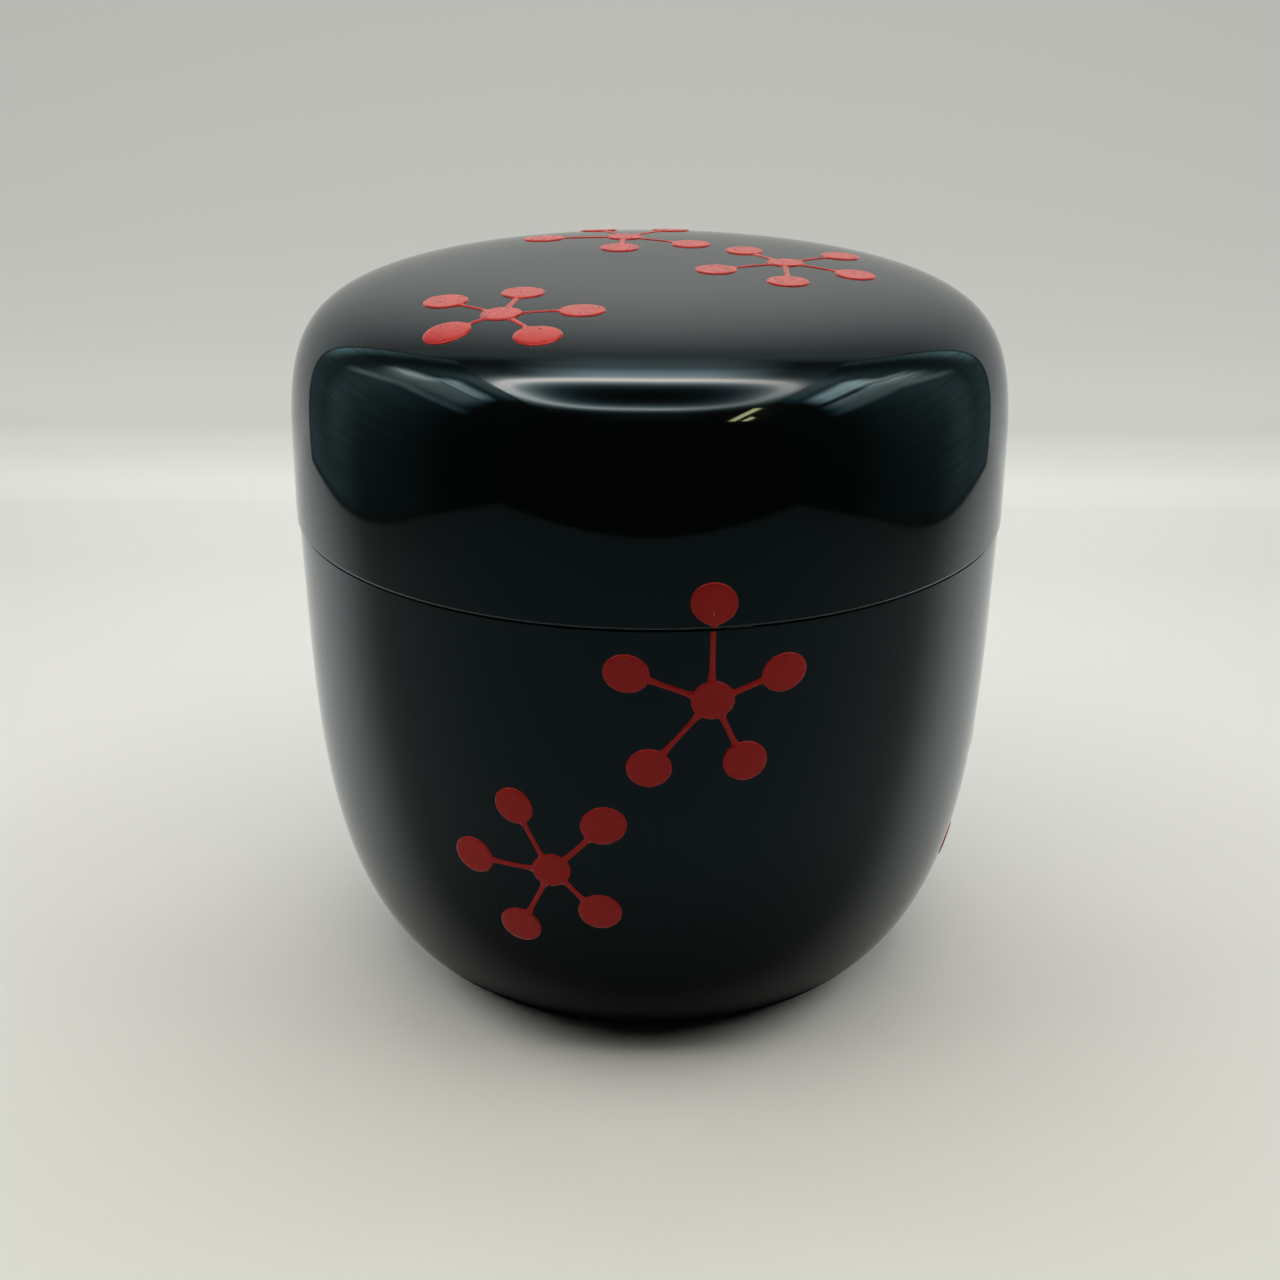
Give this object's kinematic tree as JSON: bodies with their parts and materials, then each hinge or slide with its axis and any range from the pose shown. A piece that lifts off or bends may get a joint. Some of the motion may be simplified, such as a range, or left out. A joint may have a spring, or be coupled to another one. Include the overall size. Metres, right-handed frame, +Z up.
{
  "type": "tea caddy",
  "caption": "Small round lacquered tea caddy with a low domed lift-off lid, a tapering body and scattered painted plum blossoms.",
  "frame": {"origin": "centre of the standing face, on the caddy's axis", "axes": "+Z up along the caddy's axis, and the side seen in the picture faces -Y"},
  "size_m": [0.066, 0.066, 0.0669],
  "materials": {
    "core_wood": "turned bare wood, hidden under lacquer",
    "outer_lacquer": "polished black lacquer",
    "inner_lacquer": "black lacquer, less polished",
    "foot_lacquer": "satin black lacquer",
    "red_paint": "slightly raised red lacquer paint, satin"
  },
  "bodies": {
    "body": {"body_core": "core_wood", "body_outer_coat": "outer_lacquer", "body_inner_coat": "inner_lacquer", "foot_coat": "foot_lacquer", "body_blossom_front": "red_paint", "body_blossom_left": "red_paint", "body_blossom_right": "red_paint", "body_blossom_back": "red_paint", "body_blossom_side": "red_paint"},
    "lid": {"lid_core": "core_wood", "lid_outer_coat": "outer_lacquer", "lid_inner_coat": "inner_lacquer", "lid_blossom_left": "red_paint", "lid_blossom_right": "red_paint", "lid_blossom_back": "red_paint", "lid_blossom_front": "red_paint"}
  },
  "joints": [
    {"name": "lid_lift", "type": "slide", "parent": "body", "child": "lid", "axis": [0, 0, 1], "range_m": [0, 0.04]}
  ]
}
